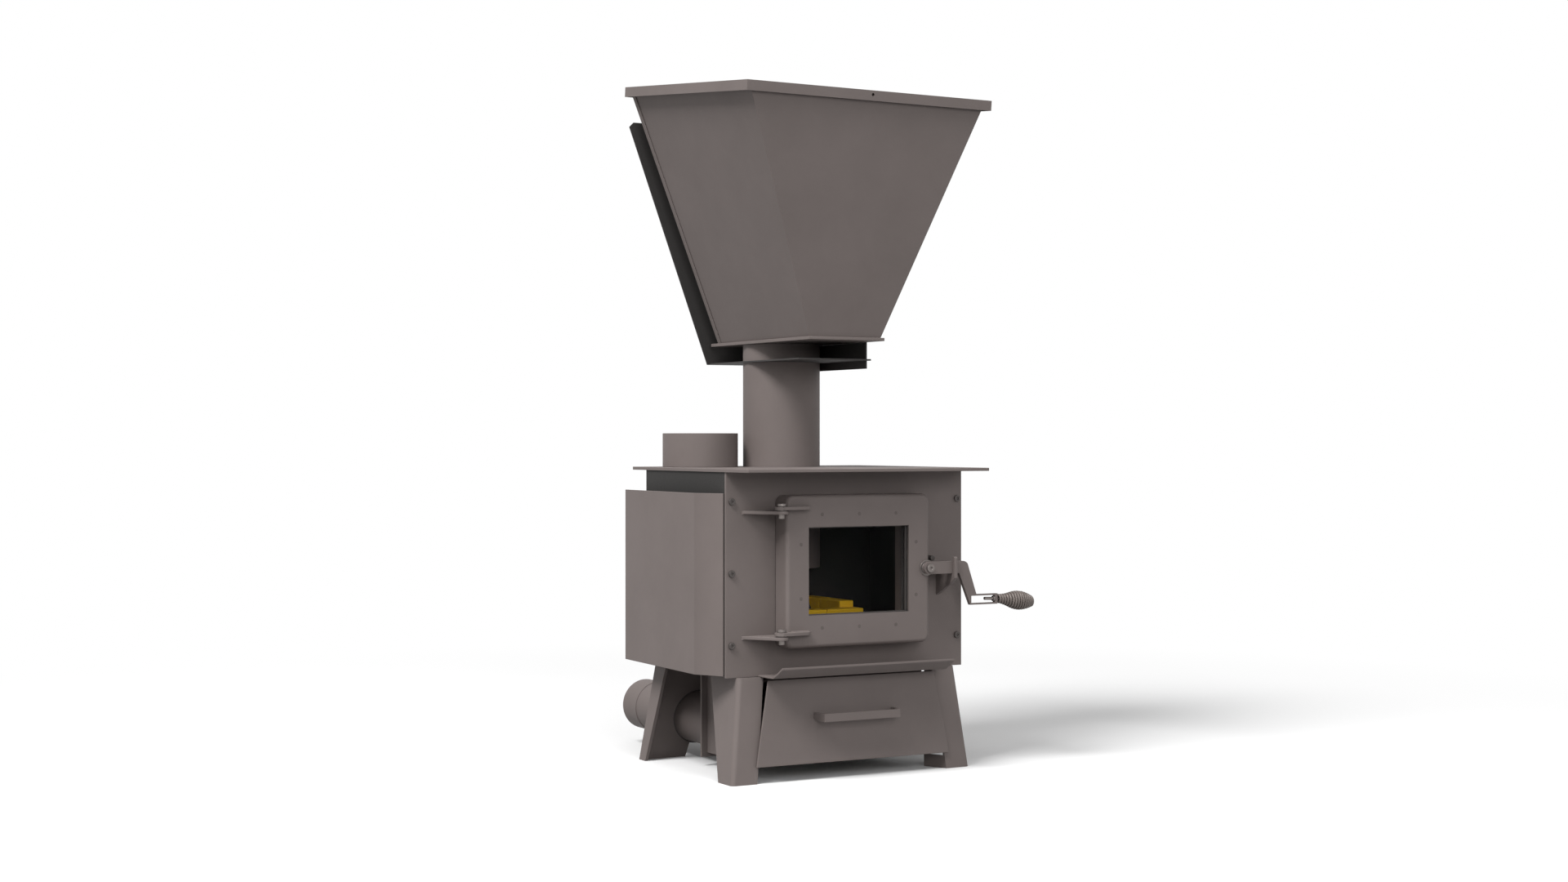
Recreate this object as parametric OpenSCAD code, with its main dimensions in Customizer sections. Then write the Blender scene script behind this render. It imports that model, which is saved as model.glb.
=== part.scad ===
// Gravity fed pellet stove: a plate steel firebox on four folded legs, a glazed door with a lift latch,
// an ash drawer, a round feed tube and a tall tapered hopper with a heat shield and a lift off lid.
// Millimetres, +Z up, front towards -Y. The origin is under the middle of the whole stove, on the floor.

/* [Body] */
// Width of the firebox across its side walls
body_w = 514; // [480:1:560]
// Depth of the firebox from the front plate's face to the rear wall
body_d = 339; // [325:1:380]
// Height of the firebox walls
body_h = 374; // [360:1:410]
// Height of the firebox floor above the ground
body_z = 197; // [190:1:215]
// Thickness of the side, rear and floor sheets
wall_t = 5; // [4:0.5:6]
// Thickness of the front plate
front_t = 6; // [5:0.5:8]
// How far the front plate hangs below the floor
front_drop = 3; // [2:0.5:5]

/* [Top plate] */
// Width of the top plate
top_w = 520; // [516:1:570]
// Overhang of the top plate at the front
top_front = 92; // [60:1:110]
// Overhang of the top plate at the rear
top_rear = 56; // [30:1:80]
// Thickness of the top plate
top_t = 6; // [5:0.5:8]

/* [Feed tube and flue] */
// Outside diameter of the feed tube
tube_d = 152.4; // [140:0.1:154]
// Wall of the feed tube and of the flue collar
tube_t = 3; // [2:0.5:4]
// Distance of the feed tube's centre behind the front plate's face
tube_y = 256; // [250:1:258]
// Gap between the feed tube's mouth and the floor of the firebox
tube_gap = 176; // [160:1:185]
// Outside diameter of the flue collar
flue_d = 148; // [140:0.5:149]
// Height of the flue collar above the top plate
flue_h = 66; // [40:1:90]
// Distance of the flue collar's centre left of the feed tube
flue_x = 158; // [154:1:166]
// Distance of the flue collar's centre behind the front plate's face
flue_y = 300; // [292:1:312]

/* [Door] */
// Width of the door
door_w = 310; // [304:1:318]
// Height of the door
door_h = 282; // [274:1:290]
// Depth of the folded door pan
door_d = 33; // [31:0.5:38]
// Gap between the front plate and the door's rear edge, which the rope seal fills
door_gap = 12; // [11:0.5:14]
// Width of the window
window_w = 217; // [190:1:219]
// Height of the window
window_h = 163; // [140:1:165]
// Sheet of the door pan
door_t = 4; // [3:0.5:5]
// Furthest that the door opens, in degrees
door_open = 110; // [90:5:120]

/* [Latch] */
// Height of the flat latch bar
latch_h = 23; // [19:0.5:24]
// Thickness of the latch bar
latch_t = 8; // [7:0.5:9]
// Radius of the latch's pivot stud
stud_r = 5; // [4:0.5:6]
// Radius of the bolt that carries the grip
grip_bolt_r = 3; // [2:0.5:3]
// Length of the coiled grip
grip_l = 85; // [82:1:92]
// Largest radius of the coiled grip, on the wire's centre
grip_big_r = 15; // [13:0.5:17]
// Radius of the coiled grip's neck and end, on the wire's centre
grip_small_r = 7.2; // [7:0.1:9]
// Turns of the coiled grip
grip_turns = 15; // [12:1:15]
// Radius of the grip's wire
grip_wire_r = 2.2; // [1.8:0.1:2.2]

/* [Ash box and drawer] */
// Width of the ash box under the firebox
box_w = 360; // [350:1:364]
// Depth of the ash box
box_d = 208; // [200:1:214]
// Height of the ash box's underside above the ground
box_z = 26; // [25:1:29]
// Gap between the ash box and the firebox floor
box_gap = 12; // [8:1:16]
// Height of the drawer front's lower edge above the ground
drawer_z = 31; // [26:1:36]
// Width of the drawer front at its lower edge
drawer_low_w = 418; // [410:1:424]
// Width of the drawer front at its upper edge
drawer_high_w = 361; // [352:1:368]
// Travel of the ash drawer
drawer_travel = 200; // [150:5:210]
// Outside diameter of the air intake pipe
intake_d = 101.6; // [90:0.1:102]
// How far the air intake pipe reaches behind the front plate's face
intake_y = 593; // [500:1:610]

/* [Legs] */
// Sheet of the legs
leg_t = 6; // [5:0.5:7]
// Width of a front leg's face at the floor
leg_face = 53; // [48:1:58]
// Depth of a front leg's side at the floor
leg_side = 54; // [48:1:60]
// How far a foot stands outside the leg's upper end
leg_splay = 23; // [16:1:28]
// Outer radius of the leg's fold
leg_bend = 9; // [7:0.5:12]

/* [Hopper] */
// Height of the hopper's flange above the top plate
hopper_rise = 241; // [220:1:270]
// Height of the hopper's front wall
hopper_h = 449; // [400:1:480]
// Width of the hopper at its lower end
hopper_low_w = 156; // [155:0.5:170]
// Width of the hopper at the top of its front wall
hopper_high_w = 509; // [470:1:520]
// Distance of the hopper's front wall behind the front plate's face, at its lower end
hopper_low_y = 6; // [0:1:20]
// Overhang of the hopper's front wall in front of the front plate's face, at its upper end
hopper_high_y = 86; // [60:1:90]
// Distance of the hopper's rear wall behind the front plate's face
hopper_rear_y = 372; // [355:1:376]
// Slope of the hopper's top, in degrees
hopper_tilt = 6; // [0:0.5:8]
// Sheet of the hopper, its lid and its shield
hopper_t = 3; // [2:0.5:4]
// Height of the lid's folded rim
lid_rim = 16; // [12:1:22]
// Gap between the lid's rim and the hopper
lid_gap = 6; // [5:0.5:12]
// Gap between the hopper's rear wall and its heat shield
shield_gap = 37; // [25:1:45]
// Gap between the hopper's flange and the pan of its heat shield
pan_gap = 36; // [28:1:44]

/* [Hidden] */
$fn = 48;

// Shared clearances and overruns
seat = 0.3;
run_fit = 0.05;
over = 4;
hair = 0.5;

// Main levels and places worked out from the sizes above
body_top = body_z + body_h;
plate_top = body_top + top_t;
half_w = body_w / 2;
floor_top = body_z + wall_t;
tube_r = tube_d / 2;
flue_r = flue_d / 2;
window_rise_share = 0.509;
window_z = body_z + body_h * window_rise_share;
door_back = -door_gap;
door_face = -door_gap - door_d;

// Front plate's opening and its screws
opening_w = window_w + 20;
opening_h = window_h + 46;
opening_r = 10;
lining_t = 3;
lining_d = 14;
screw_r = 4;
screw_head_r = 6.5;
screw_head_h = 4.4;
screw_side = 11;
screw_pitch = 132;
screw_low = 2.5;
screw_z = window_z - screw_low;

// Side shields
side_shield_t = 2.5;
side_shield_h = 335;
side_shield_front_y = 8;
side_shield_bend_y = 64;
side_shield_out = 33;
side_shield_rear_out = 22;
side_shield_tail = 50;
spacer_r = 6;

// Legs
leg_top_y = 8;
leg_lean = 18;
leg_top_face = 52;
leg_top_side = 86;
leg_inset = 21;
leg_fall = seat;
rear_lean = 45;
rear_top_y = body_d - 17;
rear_side_low = 27;
rear_side_high = 47;
rear_face_low = 98;
rear_face_high = 128;
return_h = 24;
return_run = 46;
return_in = 22;

// Ash lip
lip_w = 382;
lip_d = 52;
lip_rise = 20;
lip_run = 32;
lip_t = 3;
lip_trim = 14;
lip_edge = 5;

// Ash box, neck and drawer
box_front = 22;
box_top = body_z - box_gap;
neck_w = 284;
neck_front = 60;
neck_rear = 8;
box_mouth_side = 10;
box_back_side = 13;
box_back_drop = 8;
pan_t = 2;
pan_side_gap = 1;
pan_h = 96;
drawer_t = 4;
drawer_top_gap = 9;
drawer_low_y = 30;
drawer_lean = 9;
handle_w = 164;
handle_h = 15;
handle_out = 32;
handle_t = 5;
handle_z = 117;
handle_r = 7;
intake_x = 139;
intake_z = 80;
intake_t = 2;
intake_slack = 2.5;
bead_w = 5;
bead_h = 1.5;
spigot_l = 60;

// Grate and firebricks
grate_w = 160;
grate_d = 52;
grate_front = 174;
grate_t = 12;
grate_bars = 9;
grate_slot_share = 0.45;
grate_rim = 10;
brick_t = 32;
brick_gap = 0.6;
front_brick_w = 83;
front_brick_h = 98;
front_brick_y = 140;
front_brick_shift = -3.5;
side_brick_h = 120;
side_brick_in = 85;
ramp_t = 5;
ramp_h = 104;

// Hinge
pin_r = 6;
pin_side = 15;
pin_out = 7;
hinge_tab_t = 6;
hinge_boss_r = 13;
hinge_washer_t = 2;
hinge_washer_r = 10;
hinge_head_h = 5.5;
hinge_head_r = 8.5;
hinge_tail = 8;
hinge_foot = 67;
hinge_foot_gap = 3;
strap_l = 62;
strap_tip = 12;
hinge_rise = 106.5;
hinge_drop = 123.5;
upper_hinge_z = window_z + hinge_rise;
lower_hinge_z = window_z - hinge_drop;

// Door parts
door_corner_r = 15;
door_bend = 7;
door_bend_steps = 3;
glass_t = 5;
glass_lap_x = 9;
glass_lap_z = 11;
retainer_t = 3;
retainer_bolt_r = 2.5;
retainer_nut_r = 5;
retainer_nut_h = 4;
retainer_lip = 2;
bolt_row_x = 80;
bolt_row_z = 105;
bolt_side_x = 125;
bolt_side_z = 50;
inner_frame_t = 4;
seal_r = 5.6;
seal_in = 16;

// Latch
stud_x = 148;
stud_z = window_z;
stud_washer_r = 15;
stud_washer_t = 2;
spacer_ring_r = 10.5;
spacer_ring_t = 1.5;
stud_head_r = 8;
stud_head_h = 5;
socket_r = 3.2;
socket_h = 3;
bar_back = door_face - stud_washer_t - spacer_ring_t - seat * 2;
bar_front = bar_back - latch_t;
bar_y = (bar_back + bar_front) / 2;
bar_l = 74;
leg_step = 26;
leg_drop = 63;
fork_l = 55;
fork_h = 20;
fork_arm = 3;
fork_web = 6;
bolt_tail = 22;
latch_round = 5;
latch_lift = 50;
catch_x = 202;
catch_t = 7;
catch_lip = 8;
catch_rise = 9;
catch_arm = 28;
catch_foot = 44;
grip_rings = 8;
grip_sides = 6;

// Hopper
flange_z = plate_top + hopper_rise;
flange_t = 6;
flange_side = 5;
flange_front = 6;
flange_rear = 28;
hopper_z = flange_z + flange_t;
side_slope = (hopper_high_w - hopper_low_w) / 2 / hopper_h;
front_slope = (hopper_high_y + hopper_low_y) / hopper_h;
front_top_z = hopper_z + hopper_h;
rear_run = hopper_rear_y + hopper_high_y;
rear_top_z = front_top_z + rear_run * tan(hopper_tilt);
seam_w = 9;
seam_t = 2;
chute_rise = 128;
chute_t = 3;
shield_y = hopper_rear_y + hopper_t + shield_gap;
shield_side = 8.5;
shield_drop = 11;
shield_chamfer = 9;
shield_foot_side = 2;
pan_z = flange_z - pan_gap;
pan_front = 45;
skirt_drop = 15;
hopper_spacer_r = 7;
flange_bolt_r = 4;
flange_bolt_side = 12;
lid_hole_r = 3;
lid_seat = 0.3;
lid_lift = 120;

// Reach of the whole stove, which sets its origin
reach_left = half_w + side_shield_out;
grip_start = stud_x + bar_l + leg_step + fork_l;
reach_right = grip_start + grip_l;
reach_front = hopper_high_y + lid_gap + hopper_t * (cos(hopper_tilt) + sin(hopper_tilt));
middle_x = (reach_right - reach_left) / 2;
middle_y = (intake_y - reach_front) / 2;

paint = [0.37, 0.34, 0.32];
dark_paint = [0.2, 0.19, 0.18];
bare_steel = [0.45, 0.43, 0.41];
cast_iron = [0.16, 0.16, 0.16];
brick_gold = [0.66, 0.5, 0.12];
glass_grey = [0.2, 0.2, 0.22, 0.4];
rope_grey = [0.55, 0.53, 0.5];

echo(middle_x = middle_x, middle_y = middle_y, lid_z = rear_top_z, grip_start = grip_start);

// Moves a piece from the front plate's frame into the stove's own frame
module placed(tint) {
    color(tint) translate([-middle_x, -middle_y, 0]) children();
}

// Block given by its low and high corners
module block(low, high) {
    translate(low) cube(high - low);
}

// Round bar along +Y from a point
module bar_along_y(at, r, l) {
    translate(at) rotate([-90, 0, 0]) cylinder(r = r, h = l);
}

// Round bar along +X from a point
module bar_along_x(at, r, l) {
    translate(at) rotate([0, 90, 0]) cylinder(r = r, h = l);
}

// Flat outline drawn in X and Z, given depth from y to y + depth
module upright(y, depth) {
    translate([0, y + depth, 0]) rotate([90, 0, 0]) linear_extrude(depth) children();
}

// Flat outline drawn in Y and Z, given width from x to x + width
module sideways(x, width) {
    translate([x, 0, 0]) rotate([90, 0, 90]) linear_extrude(width) children();
}

// Rectangle with round corners, centred
module round_rect(w, h, r) {
    for (sx = [-1, 1]) for (sy = [-1, 1]) translate([sx * (w / 2 - r), sy * (h / 2 - r)]) circle(r);
    square([w, h - 2 * r], center = true);
    square([w - 2 * r, h], center = true);
}

module firebox() {
    placed(paint) difference() {
        block([-half_w, front_t, body_z], [half_w, body_d, body_top]);
        block([-half_w + wall_t, front_t - over, floor_top],
            [half_w - wall_t, body_d - wall_t, body_top + over]);
        block([-grate_w / 2 + grate_rim, grate_front + grate_rim, body_z - over],
            [grate_w / 2 - grate_rim, grate_front + grate_d - grate_rim, floor_top + over]);
    }
}

module front_plate() {
    placed(paint) {
        difference() {
            block([-half_w, 0, body_z - front_drop], [half_w, front_t, body_top]);
            translate([0, 0, window_z]) upright(-over, front_t + 2 * over)
                round_rect(opening_w, opening_h, opening_r);
            for (sx = [-1, 1]) for (k = [-1, 0, 1])
                bar_along_y([sx * (half_w - screw_side), -over, screw_z + k * screw_pitch], screw_r,
                    front_t - seat + over);
        }
        translate([0, 0, window_z]) upright(front_t, lining_d) difference() {
            round_rect(opening_w + 2 * lining_t, opening_h + 2 * lining_t, opening_r + lining_t);
            round_rect(opening_w, opening_h, opening_r);
        }
    }
}

module plate_screws() {
    placed(bare_steel) for (sx = [-1, 1]) for (k = [-1, 0, 1])
        translate([sx * (half_w - screw_side), 0, screw_z + k * screw_pitch]) difference() {
            union() {
                bar_along_y([0, 0, 0], screw_r - run_fit, front_t - 2 * seat);
                bar_along_y([0, -screw_head_h, 0], screw_head_r, screw_head_h - seat);
                bar_along_y([0, -seat - hair, 0], screw_r - run_fit, 2 * hair);
            }
            translate([0, -screw_head_h / 2, 0]) rotate([90, 0, 0])
                cylinder(r = screw_r * 0.7, h = screw_head_h, $fn = 6);
        }
}

module top_plate() {
    placed(paint) difference() {
        block([-top_w / 2, -top_front, body_top], [top_w / 2, body_d + top_rear, plate_top]);
        translate([0, tube_y, body_top - over]) cylinder(r = tube_r + seat, h = top_t + 2 * over);
        intersection() {
            translate([-flue_x, flue_y, body_top - over])
                cylinder(r = flue_r - tube_t, h = top_t + 2 * over);
            block([-half_w + wall_t, front_t, body_top - over],
                [half_w - wall_t, body_d - wall_t, plate_top + over]);
        }
    }
}

module feed_tube() {
    placed(paint) translate([0, tube_y, 0]) difference() {
        translate([0, 0, floor_top + tube_gap]) cylinder(r = tube_r, h = flange_z - floor_top - tube_gap);
        translate([0, 0, floor_top]) cylinder(r = tube_r - tube_t, h = flange_z);
    }
}

module flue_collar() {
    placed(paint) translate([-flue_x, flue_y, plate_top]) difference() {
        cylinder(r = flue_r, h = flue_h);
        translate([0, 0, -over]) cylinder(r = flue_r - tube_t, h = flue_h + 2 * over);
    }
}

// Outline of a side shield seen from above, for the right hand side
module side_shield_outline() {
    out = half_w + side_shield_out;
    rear = half_w + side_shield_rear_out;
    near = half_w + seat;
    lap = side_shield_t * 1.2;
    polygon([[near, side_shield_front_y], [near + lap, side_shield_front_y], [out, side_shield_bend_y],
        [rear, body_d + side_shield_tail], [rear - side_shield_t, body_d + side_shield_tail],
        [out - side_shield_t, side_shield_bend_y + side_shield_t], [near, side_shield_front_y + lap]]);
}

module side_shield() {
    translate([0, 0, body_z]) linear_extrude(side_shield_h) side_shield_outline();
}

module left_side_shield() {
    placed(paint) mirror([1, 0, 0]) side_shield();
}

module right_side_shield() {
    placed(paint) side_shield();
}

module shield_spacers() {
    run = body_d + side_shield_tail - side_shield_bend_y;
    placed(bare_steel) for (sx = [0, 1]) mirror([sx, 0, 0]) for (share = [0.2, 0.7]) {
        reach = side_shield_out - (side_shield_out - side_shield_rear_out) * share - side_shield_t * 1.3;
        y = side_shield_bend_y + run * share;
        for (level = [0.2, 0.8]) bar_along_x([half_w, y, body_z + side_shield_h * level], spacer_r, reach);
    }
}

module ash_lip() {
    placed(paint) difference() {
        sideways(-lip_w / 2, lip_w) translate([-lip_d, body_z - front_drop]) polygon([[0, 0], [lip_d, 0],
            [lip_d, lip_t], [lip_t / 2, lip_t], [-lip_run, lip_rise + lip_t],
            [-lip_run, lip_rise - lip_t / 2], [-lip_t, lip_t / 4]]);
        for (sx = [-1, 1]) translate([sx * lip_w / 2, 0, body_z - front_drop - over])
            linear_extrude(lip_rise + lip_t + 2 * over)
            polygon([[sx * over, -lip_d + lip_trim], [0, -lip_d + lip_trim],
                [-sx * lip_edge, -lip_d - lip_run / 2],
                [-sx * lip_edge, -lip_d - lip_run - over], [sx * over, -lip_d - lip_run - over]]);
    }
}

// Slanted plate between a low and a high rectangle, each given as [x0, y0, x1, y1]
module slanted(low, high, z0, z1) {
    hull() {
        block([low[0], low[1], z0], [low[2], low[3], z0 + hair]);
        block([high[0], high[1], z1 - hair], [high[2], high[3], z1]);
    }
}

// Front leg for the right hand side
module front_leg() {
    foot_x = half_w + leg_splay - leg_inset;
    high_x = half_w - leg_inset;
    foot_y = -leg_top_y - leg_lean;
    high_z = body_z - front_drop - leg_fall;
    intersection() {
        union() {
            slanted([foot_x - leg_face, foot_y, foot_x, foot_y + leg_t],
                [high_x - leg_top_face, -leg_top_y, high_x, -leg_top_y + leg_t], 0, high_z);
            slanted([foot_x - leg_t, foot_y, foot_x, foot_y + leg_side],
                [high_x - leg_t, -leg_top_y, high_x, -leg_top_y + leg_top_side], 0, high_z);
            linear_extrude(return_h) polygon([[foot_x - leg_face, foot_y + hair],
                [foot_x - leg_face + leg_t, foot_y + hair],
                [foot_x - leg_face - return_in + leg_t, foot_y + return_run],
                [foot_x - leg_face - return_in, foot_y + return_run]]);
        }
        hull() {
            translate([foot_x - leg_bend, foot_y + leg_bend, 0]) cylinder(r = leg_bend, h = hair, $fn = 32);
            translate([high_x - leg_bend, -leg_top_y + leg_bend, high_z - hair])
                cylinder(r = leg_bend, h = hair, $fn = 32);
            block([foot_x - 2 * body_z, foot_y, 0], [foot_x - leg_bend, foot_y + 2 * body_z, hair]);
            block([high_x - 2 * body_z, -leg_top_y, high_z - hair],
                [high_x - leg_bend, 2 * body_z, high_z]);
            block([foot_x - leg_bend, foot_y + leg_bend, 0], [foot_x, foot_y + 2 * body_z, hair]);
            block([high_x - leg_bend, leg_bend, high_z - hair], [high_x, 2 * body_z, high_z]);
        }
    }
}

module front_left_leg() {
    placed(paint) mirror([1, 0, 0]) front_leg();
}

module front_right_leg() {
    placed(paint) front_leg();
}

// Rear leg for the right hand side
module rear_leg() {
    foot_x = half_w + leg_splay - leg_inset;
    high_x = half_w - leg_inset;
    foot_y = rear_top_y + rear_lean;
    high_z = body_z - leg_fall;
    slanted([foot_x - rear_face_low, foot_y - leg_t, foot_x, foot_y],
        [high_x - rear_face_high, rear_top_y - leg_t, high_x, rear_top_y], 0, high_z);
    slanted([foot_x - leg_t, foot_y - rear_side_low, foot_x, foot_y],
        [high_x - leg_t, rear_top_y - rear_side_high, high_x, rear_top_y], 0, high_z);
}

module rear_left_leg() {
    placed(paint) difference() {
        mirror([1, 0, 0]) rear_leg();
        bar_along_y([-intake_x, box_front + box_d, intake_z], intake_d / 2 + intake_slack, intake_y);
    }
}

module rear_right_leg() {
    placed(paint) rear_leg();
}

module ash_box() {
    mouth = box_w / 2 - box_mouth_side;
    port_r = box_w / 2 - wall_t - intake_x;
    back = box_front + box_d;
    placed(paint) difference() {
        union() {
            block([-box_w / 2, box_front, box_z], [box_w / 2, back, box_top]);
            block([-box_w / 2 - box_back_side, back - wall_t, box_z - box_back_drop],
                [box_w / 2 + box_back_side, back, box_top]);
        }
        block([-box_w / 2 + wall_t, box_front + wall_t, box_z + wall_t],
            [box_w / 2 - wall_t, back - wall_t, box_top - wall_t]);
        block([-mouth, box_front - over, box_z + wall_t],
            [mouth, box_front + wall_t + over, box_top - wall_t]);
        block([-neck_w / 2 + wall_t, neck_front + wall_t, box_top - wall_t - over],
            [neck_w / 2 - wall_t, back - neck_rear - wall_t, box_top + over]);
        bar_along_y([-intake_x, back - wall_t - over, intake_z], port_r, wall_t + 2 * over);
    }
}

module ash_neck() {
    rear = box_front + box_d - neck_rear;
    placed(dark_paint) difference() {
        block([-neck_w / 2, neck_front, box_top], [neck_w / 2, rear, body_z]);
        block([-neck_w / 2 + wall_t, neck_front + wall_t, box_top - over],
            [neck_w / 2 - wall_t, rear - wall_t, body_z + over]);
    }
}

module air_intake_pipe() {
    placed(paint) difference() {
        union() {
            bar_along_y([-intake_x, box_front + box_d, intake_z], intake_d / 2,
                intake_y - box_front - box_d);
            bar_along_y([-intake_x, intake_y - spigot_l - bead_w, intake_z], intake_d / 2 + bead_h, bead_w);
        }
        bar_along_y([-intake_x, box_front + box_d - over, intake_z], intake_d / 2 - intake_t, intake_y);
    }
}

module fire_grate() {
    inner_w = grate_w - 4 * grate_rim;
    inner_d = grate_d - 3 * grate_rim;
    step = inner_w / grate_bars;
    placed(cast_iron) difference() {
        block([-grate_w / 2, grate_front, floor_top],
            [grate_w / 2, grate_front + grate_d, floor_top + grate_t]);
        for (k = [0 : grate_bars - 1])
            translate([-inner_w / 2 + step * (k + 0.5), grate_front + grate_d / 2, floor_top + grate_t / 2])
                cube([step * grate_slot_share, inner_d, grate_t + 2 * over], center = true);
    }
}

module front_firebricks() {
    placed(brick_gold) translate([front_brick_shift, 0, 0]) for (k = [-1, 0, 1]) block(
        [(k - 0.5) * front_brick_w + brick_gap / 2, front_brick_y, floor_top],
        [(k + 0.5) * front_brick_w - brick_gap / 2, front_brick_y + brick_t, floor_top + front_brick_h]);
}

module side_firebricks() {
    start = front_brick_y + brick_t + brick_gap;
    step = (body_d - wall_t - start) / 2;
    placed(brick_gold) for (sx = [0, 1]) mirror([sx, 0, 0]) for (k = [0, 1]) block(
        [side_brick_in, start + step * k, floor_top],
        [side_brick_in + brick_t, start + step * (k + 1) - brick_gap, floor_top + side_brick_h]);
}

module rear_firebricks() {
    span = side_brick_in - brick_gap;
    rear = body_d - wall_t - brick_gap;
    placed(brick_gold) for (k = [-1, 0]) block([span * k + brick_gap / 2, rear - brick_t, floor_top],
        [span * (k + 1) - brick_gap / 2, rear, floor_top + side_brick_h]);
}

module feed_ramp() {
    low = grate_front + grate_d + seat;
    high = body_d - wall_t - 2 * brick_gap - brick_t - seat;
    placed(cast_iron) sideways(-side_brick_in + seat, 2 * (side_brick_in - seat)) polygon([[low, floor_top],
        [low + ramp_t, floor_top], [high, floor_top + ramp_h - ramp_t], [high, floor_top + ramp_h],
        [high - ramp_t, floor_top + ramp_h], [low, floor_top + ramp_t]]);
}

// Hinge line, in the front plate's frame
pin_x = -door_w / 2 - pin_side;
pin_y = door_face - pin_out;

module at_hinges() {
    for (z = [upper_hinge_z, lower_hinge_z]) translate([pin_x, pin_y, z]) children();
}

module body_hinge_tabs() {
    gap = -door_w / 2 - hinge_foot_gap - pin_x;
    placed(paint) at_hinges() linear_extrude(hinge_tab_t) difference() {
        union() {
            circle(hinge_boss_r);
            polygon([[-hinge_boss_r * 0.9, -hinge_boss_r * 0.4], [gap, -hinge_boss_r * 0.1], [gap, -pin_y],
                [gap - hinge_foot, -pin_y]]);
        }
        circle(pin_r + run_fit);
    }
}

module hinge_washers() {
    placed(bare_steel) at_hinges() translate([0, 0, hinge_tab_t + seat / 2]) difference() {
        cylinder(r = hinge_washer_r, h = hinge_washer_t - seat);
        translate([0, 0, -over]) cylinder(r = pin_r + run_fit, h = hinge_washer_t + 2 * over);
    }
}

module hinge_pins() {
    stack = 2 * hinge_tab_t + hinge_washer_t + seat;
    placed(bare_steel) at_hinges() {
        translate([0, 0, -hinge_tail]) cylinder(r = pin_r, h = stack + hinge_tail + hair);
        translate([0, 0, stack]) cylinder(r = hinge_head_r, h = hinge_head_h);
    }
}

module door_hinge_straps() {
    placed(paint) at_hinges() translate([0, 0, hinge_tab_t + hinge_washer_t]) linear_extrude(hinge_tab_t)
        difference() {
        union() {
            circle(hinge_boss_r);
            polygon([[0, -hinge_boss_r], [strap_l - strap_tip, -hinge_boss_r * 0.8],
                [strap_l, -hinge_boss_r * 0.1], [strap_l, pin_out], [0, pin_out]]);
        }
        circle(pin_r + run_fit);
    }
}

module catch_plate() {
    slot_back = bar_back + 2 * seat;
    slot_front = bar_front - 2 * seat;
    arm_top = stud_z - latch_h / 2 - seat;
    lip_top = stud_z + latch_h / 2 + catch_rise;
    placed(paint) sideways(catch_x - catch_t / 2, catch_t) union() {
        polygon([[0, arm_top - catch_foot], [0, arm_top + catch_lip], [slot_back, arm_top + catch_lip],
            [slot_back, arm_top], [slot_front, arm_top], [slot_front, lip_top - catch_lip / 2],
            [slot_front - catch_lip, lip_top - catch_lip / 2],
            [slot_front - catch_lip, arm_top - catch_arm * 0.3],
            [slot_front * 0.86, arm_top - catch_arm * 0.75], [slot_front * 0.55, arm_top - catch_arm]]);
        translate([slot_front - catch_lip / 2, lip_top - catch_lip / 2]) circle(catch_lip / 2);
    }
}

// Door outline drawn inwards by a margin
module door_outline(margin) {
    round_rect(door_w - 2 * margin, door_h - 2 * margin, max(door_corner_r - margin, hair));
}

module door_panel() {
    straight = door_d - door_bend;
    placed(paint) translate([0, 0, window_z]) difference() {
        union() {
            upright(door_back - straight, straight) door_outline(0);
            for (k = [0 : door_bend_steps - 1]) {
                a0 = 90 * k / door_bend_steps;
                a1 = 90 * (k + 1) / door_bend_steps;
                hull() {
                    upright(door_back - straight - door_bend * sin(a0), hair)
                        door_outline(door_bend * (1 - cos(a0)), $fn = 32);
                    upright(door_back - straight - door_bend * sin(a1), hair)
                        door_outline(door_bend * (1 - cos(a1)), $fn = 32);
                }
            }
        }
        upright(door_face + door_t, door_d) door_outline(door_t);
        upright(door_face - over, door_d) square([window_w, window_h], center = true);
    }
}

module door_inner_frame() {
    placed(dark_paint) translate([0, 0, window_z]) upright(door_back - inner_frame_t, inner_frame_t)
        difference() {
        door_outline(door_t + seat);
        round_rect(opening_w - lining_d, opening_h - lining_d, opening_r);
    }
}

module door_glass() {
    placed(glass_grey) translate([0, 0, window_z]) upright(door_face + door_t + seat, glass_t)
        round_rect(window_w + 2 * glass_lap_x, window_h + 2 * glass_lap_z, 3 * hair);
}

module retainer_places() {
    for (sz = [-1, 1]) {
        for (k = [-1, 0, 1]) translate([k * bolt_row_x, 0, window_z + sz * bolt_row_z]) children();
        for (sx = [-1, 1]) translate([sx * bolt_side_x, 0, window_z + sz * bolt_side_z]) children();
    }
}

module glass_retainer() {
    y = door_face + door_t + glass_t + 2 * seat;
    placed(dark_paint) difference() {
        translate([0, 0, window_z]) upright(y, retainer_t) difference() {
            round_rect(2 * bolt_side_x + 4 * retainer_bolt_r, 2 * bolt_row_z + 4 * retainer_bolt_r,
                2 * retainer_bolt_r);
            square([window_w - 2 * retainer_lip, window_h - 2 * retainer_lip], center = true);
        }
        retainer_places() bar_along_y([0, y - over, 0], retainer_bolt_r + run_fit, retainer_t + 2 * over);
    }
}

module retainer_bolts() {
    y = door_face + door_t;
    reach = glass_t + retainer_t + retainer_nut_h + 3 * seat;
    placed(bare_steel) retainer_places() {
        bar_along_y([0, y, 0], retainer_bolt_r, reach + seat);
        translate([0, y + reach, 0]) rotate([90, 0, 0])
            cylinder(r = retainer_nut_r, h = retainer_nut_h, $fn = 6);
    }
}

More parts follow.
